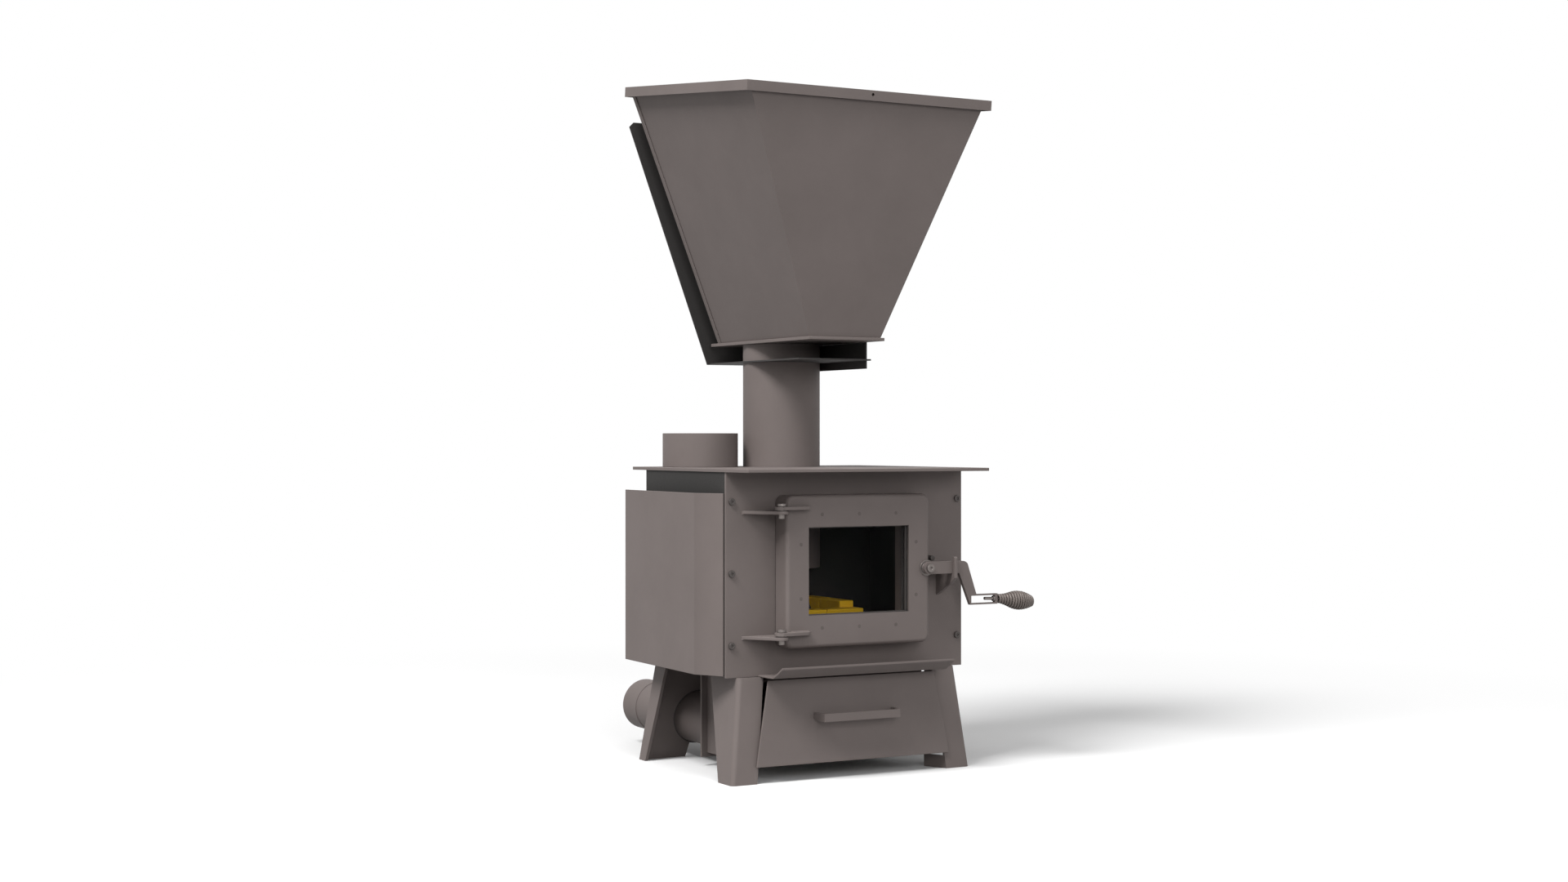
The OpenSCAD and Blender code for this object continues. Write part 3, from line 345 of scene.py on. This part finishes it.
@dataclass
class Bench:
    """The workbench: the modelling steps that every sub-assembly shares."""

    palette: Palette
    merge_gap: float = 0.002 * MM
    flat_angle: float = 0.6
    edge_angle: float = 40.0
    crown_share: float = 0.35
    drop_pitch: float = 0.9
    drop_sides: int = 10
    drop_rows: int = 6
    fewest_drops: int = 3

    @staticmethod
    def clear() -> None:
        """Deselects every object."""
        bpy.ops.object.select_all(action="DESELECT")

    def pick(self, piece: bpy.types.Object) -> None:
        """Makes one piece the only selected and the active one.

        Args:
            piece: The piece.
        """
        self.clear()
        piece.select_set(True)
        bpy.context.view_layer.objects.active = piece

    @staticmethod
    def settled(name: str) -> bpy.types.Object:
        """Names the piece just added and moves its place, turn and scale into its mesh.

        Args:
            name: The piece's name.

        Returns:
            The piece, at the origin.
        """
        piece = bpy.context.active_object
        piece.name = name
        bpy.ops.object.transform_apply(location=True, rotation=True, scale=True)
        return piece

    def copy_of(self, node: str, name: str) -> bpy.types.Object:
        """Copies a solid and merges its loose triangles into clean faces.

        Args:
            node: The solid to copy.
            name: The new piece's name.

        Returns:
            The copy, at the origin.
        """
        piece = bpy.data.objects.new(name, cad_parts[node].data.copy())
        bpy.context.collection.objects.link(piece)
        self.pick(piece)
        bpy.ops.object.mode_set(mode="EDIT")
        bpy.ops.mesh.select_all(action="SELECT")
        bpy.ops.mesh.remove_doubles(threshold=self.merge_gap)
        bpy.ops.mesh.dissolve_limited(angle_limit=math.radians(self.flat_angle))
        bpy.ops.object.mode_set(mode="OBJECT")
        return piece

    def shaped(self, piece: bpy.types.Object, kind: str, **settings: object) -> None:
        """Adds one modifier to a piece and applies it.

        Args:
            piece: The piece to shape.
            kind: Blender's name for the modifier.
            settings: The modifier's own values.
        """
        self.pick(piece)
        modifier = piece.modifiers.new(kind.lower(), kind)
        for key, value in settings.items():
            setattr(modifier, key, value)
        bpy.ops.object.modifier_apply(modifier=modifier.name)

    def ease(self, piece: bpy.types.Object, width: float, segments: int = 2) -> None:
        """Eases a piece's sharp edges, as cut and folded sheet has them.

        Args:
            piece: The piece.
            width: The width of the eased edge.
            segments: The faces across the edge.
        """
        self.shaped(piece, "BEVEL", width=width, segments=segments, limit_method="ANGLE",
                    angle_limit=math.radians(self.edge_angle), use_clamp_overlap=True)

    def finish(self, piece: bpy.types.Object, finish: Finish | Glazing, body: str, *nodes: str,
               smooth: float = SHEET_ANGLE) -> bpy.types.Object:
        """Gives a piece its material and its body, and hides the solids that it stands for.

        Args:
            piece: The piece, in place.
            finish: Its finish.
            body: The body that it rides on.
            nodes: The solids that it replaces.
            smooth: The angle up to which its faces are shaded as one, in degrees.

        Returns:
            The same piece.
        """
        self.pick(piece)
        bpy.ops.object.shade_smooth_by_angle(angle=math.radians(smooth))
        self.shaped(piece, "WEIGHTED_NORMAL", keep_sharp=True)
        piece.data.materials.clear()
        piece.data.materials.append(self.palette.material(finish))
        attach(piece, body)
        if nodes:
            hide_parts(*nodes)
        LOG.info("%s rides on %s", piece.name, body)
        return piece

    def eased(self, node: str, finish: Finish, body: str, width: float,
              segments: int = 2) -> bpy.types.Object:
        """Copies a solid with its sharp edges eased.

        Args:
            node: The solid.
            finish: Its finish.
            body: The body that it rides on.
            width: The width of the eased edge.
            segments: The faces across the edge.

        Returns:
            The piece that stands for the solid.
        """
        piece = self.copy_of(node, f"{node}_dressed")
        self.ease(piece, width, segments)
        return self.finish(piece, finish, body, node)

    def dressed(self, node: str, finish: Finish | Glazing) -> None:
        """Gives a solid that stays as it is its material.

        Args:
            node: The solid.
            finish: Its finish.
        """
        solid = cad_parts[node]
        solid.data.materials.clear()
        solid.data.materials.append(self.palette.material(finish))
        LOG.info("%s keeps its solid", node)

    def bosses(self, name: str, centres: Iterable[Vector], radius: float, depth: float,
               finish: Finish, body: str, sides: int = 32) -> None:
        """Models a small round boss with a crowned edge, and sets a copy of it at each place.

        Args:
            name: The start of each copy's name.
            centres: The copies' middles.
            radius: Their radius.
            depth: Their thickness, from front to rear.
            finish: Their finish.
            body: The body that they ride on.
            sides: The faces round each.
        """
        self.clear()
        bpy.ops.mesh.primitive_cylinder_add(vertices=sides, radius=radius, depth=depth,
                                            rotation=(math.pi / 2, 0.0, 0.0))
        model = self.settled(name)
        self.ease(model, min(depth, radius) * self.crown_share)
        for number, centre in enumerate(centres):
            boss = bpy.data.objects.new(f"{name}_{number}", model.data.copy())
            boss.data.transform(Matrix.Translation(centre))
            bpy.context.collection.objects.link(boss)
            self.finish(boss, finish, body)
        bpy.data.objects.remove(model)

    def weld(self, name: str, start: Vector, end: Vector, radius: float, body: str) -> None:
        """Lays a painted weld bead: drops that overlap along a line.

        Args:
            name: The bead's name.
            start: One end of the bead.
            end: The other end.
            radius: Half of the bead's width.
            body: The body that it rides on.
        """
        run = end - start
        count = max(self.fewest_drops, int(run.length / (radius * self.drop_pitch)))
        self.clear()
        bpy.ops.mesh.primitive_uv_sphere_add(segments=self.drop_sides, ring_count=self.drop_rows,
                                             radius=radius, location=start)
        bead = self.settled(name)
        self.shaped(bead, "ARRAY", count=count + 1, use_relative_offset=False,
                    use_constant_offset=True, constant_offset_displace=run / count)
        self.finish(bead, Palette.paint, body, smooth=ROUND_ANGLE)


@dataclass
class Carcass:
    """The firebox, its plates, shields, legs and pipes."""

    bench: Bench
    body: str = "stove_body"
    plate_edge: float = 0.8 * MM
    sheet_edge: float = 0.5 * MM
    brick_edge: float = 2.5 * MM
    brick_cut: float = 9.0 * MM
    head_edge: float = 0.6 * MM
    soot_margin: float = 3.0 * MM
    side_facing: float = 0.9
    flange_growth: float = 24.0 * MM
    corner_reach: float = 1.0 * MM
    leg_lean: float = 45.0 * MM
    leg_shift: float = 16.0 * MM
    leg_half: float = 3.0 * MM
    shade_ring_reach: float = 52.2 * MM
    shade_ring_radius: float = 2.4 * MM
    shade_ring_sides: int = 64
    shade_ring_rows: int = 12
    tab_thick: float = 6.0 * MM
    bead: float = 1.6 * MM
    bead_sink: float = 0.3
    stop_side: float = 22.0 * MM
    stop_rise: float = 5.0 * MM
    stop_length: float = 24.0 * MM
    stop_radius: float = 5.0 * MM
    stop_sink: float = 1.0 * MM
    stop_threads: int = 9
    stop_sides: int = 20
    thread_lap: float = 1.05
    plates: tuple[str, ...] = ("front_plate", "top_plate", "ash_lip", "body_hinge_tabs",
                               "catch_plate", "feed_tube", "flue_collar", "air_intake_pipe",
                               "left_side_shield", "right_side_shield")
    front_legs: tuple[str, ...] = ("front_left_leg", "front_right_leg")
    rear_legs: tuple[str, ...] = ("rear_left_leg", "rear_right_leg")
    fasteners: tuple[str, ...] = ("hinge_pins", "hinge_washers", "shield_spacers")
    bricks: tuple[str, ...] = ("front_firebricks", "side_firebricks", "rear_firebricks")
    castings: tuple[str, ...] = ("fire_grate", "feed_ramp")

    def build(self) -> None:
        """Builds and dresses the carcass."""
        for node in self.plates:
            self.bench.eased(node, Palette.paint, self.body, self.plate_edge)
        for node in self.fasteners:
            self.bench.eased(node, Palette.steel, self.body, self.head_edge)
        self.bench.eased("plate_screws", Palette.screw, self.body, self.head_edge)
        for node in self.front_legs:
            self.front_leg(node)
        for node in self.rear_legs:
            self.rear_leg(node)
        self.pipe_shade_ring()
        for node in self.bricks:
            self.brick(node)
        self.bench.eased("ash_box", Palette.paint, self.body, self.sheet_edge)
        self.bench.eased("ash_neck", Palette.dark, self.body, self.sheet_edge)
        for node in self.castings:
            self.bench.eased(node, Palette.iron, self.body, self.sheet_edge)
        self.firebox_walls()
        self.hinge_welds()
        self.stop_screw()

    def firebox_walls(self) -> None:
        """Dresses the firebox: sooted where it sees the fire, with painted shade on its outer
        sides.
        """
        piece = self.bench.eased("firebox", Palette.paint, self.body, self.sheet_edge)
        for finish in (Palette.soot, Palette.wall):
            piece.data.materials.append(self.bench.palette.material(finish))
        low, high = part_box("firebox")
        margin = self.soot_margin
        for face in piece.data.polygons:
            middle = face.center
            inside = all(low[axis] + margin < middle[axis] < high[axis] - margin for axis in (0, 2))
            if inside and middle.y < high.y - margin:
                face.material_index = 1
            elif abs(face.normal.x) > self.side_facing:
                # The outer side faces get the painted shade.
                face.material_index = 2

    def brick(self, node: str) -> None:
        """Dresses one row of bricks with worn edges; the side rows are cut a little lower.

        Args:
            node: The row's solid.
        """
        piece = self.bench.copy_of(node, f"{node}_dressed")
        _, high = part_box(node)
        for point in piece.data.vertices:
            if node == "side_firebricks" and point.co.z > high.z - self.brick_edge:
                point.co.z -= self.brick_cut
        self.bench.ease(piece, self.brick_edge, segments=3)
        self.bench.finish(piece, Palette.brick, self.body, node)

    def front_leg(self, node: str) -> None:
        """Dresses a front leg, its side flange a little wider at the top than its solid's.

        Args:
            node: The leg's solid.
        """
        piece = self.bench.copy_of(node, f"{node}_dressed")
        _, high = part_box(node)
        upper = [point for point in piece.data.vertices
                 if point.co.z > high.z - self.corner_reach]
        rear = max(point.co.y for point in upper)
        for point in upper:
            if point.co.y > rear - self.corner_reach:
                point.co.y += self.flange_growth
        self.bench.ease(piece, self.plate_edge)
        self.bench.finish(piece, Palette.paint, self.body, node)

    def rear_leg(self, node: str) -> None:
        """Dresses a rear leg, stood up straighter so that its top meets the rear wall.

        Args:
            node: The leg's solid.
        """
        piece = self.bench.copy_of(node, f"{node}_dressed")
        _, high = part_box(node)
        for point in piece.data.vertices:
            point.co.y += self.leg_shift * point.co.z / high.z
        self.bench.ease(piece, self.plate_edge)
        self.bench.finish(piece, Palette.paint, self.body, node)

    def pipe_shade_ring(self) -> None:
        """Fits a dark ring round the air pipe where it passes through the rear left leg, as painted
        shade at the join.
        """
        pipe_low, pipe_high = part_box("air_intake_pipe")
        _, leg_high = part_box("rear_left_leg")
        middle = (pipe_low + pipe_high) / 2
        lean = (self.leg_lean - self.leg_shift) / leg_high.z
        place = Vector((middle.x, leg_high.y - self.leg_half - lean * middle.z, middle.z))
        Bench.clear()
        bpy.ops.mesh.primitive_torus_add(
            major_radius=self.shade_ring_reach, minor_radius=self.shade_ring_radius,
            major_segments=self.shade_ring_sides, minor_segments=self.shade_ring_rows,
            location=place, rotation=(math.atan(lean) - math.pi / 2, 0.0, 0.0))
        ring = Bench.settled("pipe_shade_ring")
        # Its dark colour is painted shade where the pipe meets the leg.
        self.bench.finish(ring, Palette.dark, self.body, smooth=ROUND_ANGLE)

    def hinge_welds(self) -> None:
        """Lays a bead where each hinge tab meets the front plate."""
        low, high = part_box("body_hinge_tabs")
        sink = self.bead * self.bead_sink
        for name, level in (("upper", high.z - self.tab_thick), ("lower", low.z)):
            start = Vector((low.x + self.bead, high.y - sink, level - sink))
            end = Vector((high.x - self.bead, start.y, start.z))
            self.bench.weld(f"{name}_tab_weld", start, end, self.bead, self.body)

    def stop_screw(self) -> None:
        """Screws a short threaded stop into the front plate, beside the door, above the bar."""
        plate_low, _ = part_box("front_plate")
        _, door_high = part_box("door_panel")
        _, bar_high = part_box("latch_bar")
        start = Vector((door_high.x + self.stop_side, plate_low.y + self.stop_sink,
                        bar_high.z + self.stop_rise))
        pitch = self.stop_length / self.stop_threads
        centres = [start - Vector((0.0, (ring + 0.5) * pitch, 0.0))
                   for ring in range(self.stop_threads)]
        self.bench.bosses("stop_screw", centres, self.stop_radius, pitch * self.thread_lap,
                          Palette.screw, self.body, sides=self.stop_sides)


@dataclass
class Door:
    """The glazed door with its frame, seal, straps and latch stud."""

    bench: Bench
    body: str = "door"
    strap_edge: float = 0.7 * MM
    strap_thick: float = 6.0 * MM
    rim_reach: float = 1.0 * MM
    rim_growth: float = 9.0 * MM
    mark_radius: float = 3.6 * MM
    mark_depth: float = 0.5 * MM
    mark_sink: float = 0.3
    row_x: float = 80.0 * MM
    row_z: float = 105.0 * MM
    side_x: float = 125.0 * MM
    side_z: float = 50.0 * MM
    bead: float = 1.5 * MM
    bead_rise: float = 0.2
    bead_inset: float = 10.0 * MM
    fasteners: tuple[str, ...] = ("retainer_bolts", "latch_stud", "latch_washers")

    def build(self) -> None:
        """Builds and dresses the door."""
        self.pan()
        self.bench.dressed("door_glass", Palette.glass)
        self.bench.eased("door_hinge_straps", Palette.paint, self.body, self.strap_edge)
        self.bench.eased("door_inner_frame", Palette.dark, self.body, self.strap_edge)
        self.bench.eased("glass_retainer", Palette.dark, self.body, self.strap_edge)
        for node in self.fasteners:
            self.bench.eased(node, Palette.steel, self.body, self.strap_edge)
        self.seal()
        self.plug_marks()
        self.strap_welds()

    def pan(self) -> None:
        """Dresses the folded pan, its rim brought back close to the front plate."""
        piece = self.bench.copy_of("door_panel", "door_panel_dressed")
        _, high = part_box("door_panel")
        for point in piece.data.vertices:
            if point.co.y > high.y - self.rim_reach:
                point.co.y += self.rim_growth
        self.bench.finish(piece, Palette.paint, self.body, "door_panel")

    def seal(self) -> None:
        """Smooths the rope seal so that it reads as soft cord."""
        piece = self.bench.copy_of("door_seal", "door_seal_rope")
        self.bench.finish(piece, Palette.rope, self.body, "door_seal", smooth=ROPE_ANGLE)

    def plug_marks(self) -> None:
        """Sets the faint ground-off plugs of the retainer studs on the door's face."""
        low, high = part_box("door_panel")
        middle = (low + high) / 2
        places = [(k * self.row_x, side * self.row_z) for k in (-1, 0, 1) for side in (-1, 1)]
        places += [(k * self.side_x, side * self.side_z) for k in (-1, 1) for side in (-1, 1)]
        face = low.y + self.mark_depth * self.mark_sink
        centres = [Vector((middle.x + x, face, middle.z + z)) for x, z in places]
        self.bench.bosses("stud_plug", centres, self.mark_radius, self.mark_depth,
                          Palette.plug, self.body)

    def strap_welds(self) -> None:
        """Lays a bead along each strap where it meets the door's face."""
        low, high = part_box("door_hinge_straps")
        door_low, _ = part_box("door_panel")
        front = door_low.y - self.bead * self.bead_rise
        for name, level in (("upper", high.z), ("lower", low.z + self.strap_thick)):
            start = Vector((door_low.x + self.bead_inset, front, level))
            end = Vector((high.x - self.bead, front, level))
            self.bench.weld(f"{name}_strap_weld", start, end, self.bead, self.body)


@dataclass(frozen=True)
class Corner:
    """A corner of the latch bar, in mm from its pivot, and how far out it is drawn."""

    x: float
    z: float
    out: float


@dataclass
class Latch:
    """The lift latch with its coiled grip."""

    bench: Bench
    body: str = "latch"
    bar_edge: float = 0.9 * MM
    bolt_edge: float = 0.54 * MM
    wire_growth: float = 0.6 * MM
    smoothing: int = 2
    corner_reach: float = 1.0 * MM
    grip_lean: float = 6.0
    tail_lean: float = 2.0
    belly_growth: float = 0.17
    neck_share: float = 0.4
    corners: tuple[Corner, ...] = (
        Corner(64.8, -11.5, 2.0), Corner(81.6, -73.0, 10.6), Corner(103.0, -53.0, 3.2),
        Corner(78.0, 6.5, 8.0), Corner(74.0, 10.0, 8.0), Corner(69.0, 11.5, 8.0),
        Corner(87.6, -70.0, 7.0), Corner(87.6, -56.0, 7.0))

    def build(self) -> None:
        """Builds and dresses the latch."""
        self.bar()
        self.bolt()
        self.grip()

    def bar(self) -> None:
        """Dresses the bar, the corners of its crank drawn a little further out."""
        piece = self.bench.copy_of("latch_bar", "latch_bar_dressed")
        low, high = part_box("latch_stud")
        pivot = (low + high) / 2
        for point in piece.data.vertices:
            for corner in self.corners:
                across = abs(point.co.x - pivot.x - corner.x * MM)
                up = abs(point.co.z - pivot.z - corner.z * MM)
                if max(across, up) < self.corner_reach:
                    point.co.x += corner.out * MM
                    break
        self.bench.ease(piece, self.bar_edge, segments=3)
        self.bench.finish(piece, Palette.paint, self.body, "latch_bar")

    def leaned(self, piece: bpy.types.Object, belly: float = 0.0) -> None:
        """Leans a piece of the grip down about the grip's root, and fills it out round its axis.

        Args:
            piece: The piece to lean.
            belly: The share by which it grows past its neck.
        """
        low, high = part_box("spring_grip")
        root = Vector((low.x, (low.y + high.y) / 2, (low.z + high.z) / 2))
        neck = (high.x - low.x) * self.neck_share
        lean = Matrix.Rotation(math.radians(self.grip_lean), 3, "Y")
        tail = Matrix.Rotation(math.radians(self.tail_lean), 3, "Y")
        for point in piece.data.vertices:
            off = point.co - root
            growth = 1.0 + belly * min(1.0, max(0.0, off.x / neck))
            turn = lean if off.x > 0.0 else tail
            point.co = root + turn @ Vector((off.x, off.y * growth, off.z * growth))

    def bolt(self) -> None:
        """Dresses the bolt that holds the grip, leaned with it."""
        piece = self.bench.copy_of("grip_bolt", "grip_bolt_dressed")
        self.leaned(piece)
        self.bench.ease(piece, self.bolt_edge)
        self.bench.finish(piece, Palette.steel, self.body, "grip_bolt")

    def grip(self) -> None:
        """Winds the grip: the solid's six sided wire is leaned, fattened and rounded."""
        piece = self.bench.copy_of("spring_grip", "coiled_grip")
        self.leaned(piece, self.belly_growth)
        bpy.ops.object.mode_set(mode="EDIT")
        bpy.ops.mesh.select_all(action="SELECT")
        bpy.ops.transform.shrink_fatten(value=self.wire_growth)
        bpy.ops.object.mode_set(mode="OBJECT")
        self.bench.shaped(piece, "SUBSURF", levels=self.smoothing, render_levels=self.smoothing)
        self.bench.finish(piece, Palette.spring, self.body, "spring_grip", smooth=ROUND_ANGLE)


@dataclass
class AshDrawer:
    """The ash drawer's slanted front, pan and bent handle."""

    bench: Bench
    body: str = "ash_drawer"
    front_edge: float = 0.8 * MM
    handle_edge: float = 1.2 * MM
    pan_edge: float = 0.4 * MM

    def build(self) -> None:
        """Builds and dresses the drawer."""
        self.bench.eased("drawer_front", Palette.paint, self.body, self.front_edge)
        self.bench.eased("drawer_handle", Palette.paint, self.body, self.handle_edge, segments=3)
        self.bench.eased("ash_pan", Palette.dark, self.body, self.pan_edge)


@dataclass
class Hopper:
    """The tapered hopper with its flange, chute, heat shield and lid."""

    bench: Bench
    body: str = "stove_body"
    lid_body: str = "lid"
    sheet_edge: float = 0.9 * MM
    lid_edge: float = 1.4 * MM
    sheets: tuple[str, ...] = ("hopper_shell", "hopper_rear_panel", "hopper_flange")
    fasteners: tuple[str, ...] = ("hopper_spacers", "flange_bolts")

    def build(self) -> None:
        """Builds and dresses the hopper."""
        for node in self.sheets:
            self.bench.eased(node, Palette.paint, self.body, self.sheet_edge)
        # The heat shield takes the near-black shield colour.
        self.bench.eased("hopper_heat_shield", Palette.shield, self.body, self.sheet_edge)
        self.bench.eased("feed_chute", Palette.dark, self.body, self.sheet_edge)
        for node in self.fasteners:
            self.bench.eased(node, Palette.steel, self.body, self.sheet_edge)
        self.bench.eased("hopper_lid", Palette.paint, self.lid_body, self.lid_edge, segments=3)


@dataclass(frozen=True)
class Softbox:
    """A square lamp: where it hangs, how wide it is and its power."""

    place: Triple
    size: float
    power: float


@dataclass
class Studio:
    """The pale floor, the soft lamps, and the camera as fitted to the photograph."""

    floor_size: float = 40.0
    floor_roughness: float = 0.9
    floor_colour: Triple = (0.86, 0.86, 0.86)
    floor_bounce: Triple = (0.2, 0.2, 0.2)
    fade: Span = (1.1, 2.6)
    sky: float = 0.28
    aim: Triple = (0.0, 0.0, 0.6)
    camera_place: Triple = (-2173.5 * MM, -3836.25 * MM, 631.2 * MM)
    camera_yaw: float = -29.0
    camera_lens: float = 50.8
    camera_sensor: float = 36.0
    camera_shift: float = -0.0011
    lamps: dict[Lamp, Softbox] = field(default_factory=lambda: {
        Lamp.KEY: Softbox((-6.4, -2.3, 8.8), 3.8, 1300.0),
        Lamp.FILL: Softbox((3.4, -3.6, 2.6), 2.6, 20.0),
        Lamp.FRONT: Softbox((-1.2, -4.8, 1.9), 1.8, 66.0),
        Lamp.TOP: Softbox((-0.6, -3.0, 6.6), 3.0, 110.0),
    })

    def build(self) -> None:
        """Sets the whole studio."""
        self.floor()
        self.world()
        for lamp, softbox in self.lamps.items():
            self.hang(lamp, softbox)
        self.camera()
        bpy.context.scene.view_settings.view_transform = "Standard"

    def floor(self) -> None:
        """Lays a floor that keeps the stove's shadow and fades to white further out."""
        Bench.clear()
        bpy.ops.mesh.primitive_plane_add(size=self.floor_size, location=(0.0, 0.0, 0.0))
        plane = bpy.context.active_object
        plane.name = "floor"
        made = bpy.data.materials.new("pale_floor")
        made.use_nodes = True
        tree = made.node_tree
        nodes, links = tree.nodes, tree.links
        shader = nodes["Principled BSDF"]
        shader.inputs["Roughness"].default_value = self.floor_roughness
        shown = showing(tree)
        tint = blended(tree, shown, self.floor_bounce, self.floor_colour)
        place = nodes.new("ShaderNodeTexCoord")
        reach = nodes.new("ShaderNodeVectorMath")
        reach.operation = "LENGTH"
        links.new(place.outputs["Object"], reach.inputs[0])
        faded = mapped(tree, reach.outputs["Value"], self.fade, WHOLE)
        faded.node.interpolation_type = "SMOOTHSTEP"
        share = nodes.new("ShaderNodeMath")
        share.operation = "MULTIPLY"
        white = nodes.new("ShaderNodeEmission")
        blend = nodes.new("ShaderNodeMixShader")
        links.new(tint, shader.inputs["Base Color"])
        links.new(faded, share.inputs[0])
        links.new(shown, share.inputs[1])
        links.new(share.outputs["Value"], blend.inputs["Fac"])
        links.new(shader.outputs["BSDF"], blend.inputs[1])
        links.new(white.outputs["Emission"], blend.inputs[2])
        links.new(blend.outputs["Shader"], nodes["Material Output"].inputs["Surface"])
        plane.data.materials.append(made)

    def world(self) -> None:
        """Sets an even sky that the camera sees as white."""
        world = bpy.data.worlds.new("studio")
        bpy.context.scene.world = world
        world.use_nodes = True
        tree = world.node_tree
        sky = tree.nodes["Background"]
        sky.inputs["Color"].default_value = (1.0, 1.0, 1.0, 1.0)
        level = mapped(tree, showing(tree), WHOLE, (self.sky, 1.0))
        tree.links.new(level, sky.inputs["Strength"])

    def hang(self, lamp: Lamp, softbox: Softbox) -> None:
        """Hangs one soft lamp that faces the middle of the stove.

        Args:
            lamp: Which lamp it is.
            softbox: Its place, size and power.
        """
        data = bpy.data.lights.new(lamp.value, "AREA")
        data.energy = softbox.power
        data.size = softbox.size
        light = bpy.data.objects.new(lamp.value, data)
        light.location = softbox.place
        facing = Vector(self.aim) - Vector(softbox.place)
        light.rotation_euler = facing.to_track_quat("-Z", "Y").to_euler()
        bpy.context.collection.objects.link(light)

    def camera(self) -> None:
        """Sets the camera at the photograph's place and angle."""
        data = bpy.data.cameras.new("camera")
        data.lens = self.camera_lens
        data.sensor_width = self.camera_sensor
        data.shift_y = self.camera_shift
        camera = bpy.data.objects.new("camera", data)
        camera.location = self.camera_place
        camera.rotation_euler = (math.pi / 2, 0.0, math.radians(self.camera_yaw))
        bpy.context.collection.objects.link(camera)
        bpy.context.scene.camera = camera


def main() -> None:
    """Builds the stove's sub-assemblies in order, then the studio."""
    logging.basicConfig(level=logging.INFO, format="%(name)s: %(message)s")
    bench = Bench(Palette())
    for part in (Carcass(bench), Door(bench), Latch(bench), AshDrawer(bench), Hopper(bench)):
        part.build()
        LOG.info("%s is done", type(part).__name__)
    Studio().build()


if __name__ == "__main__":
    main()
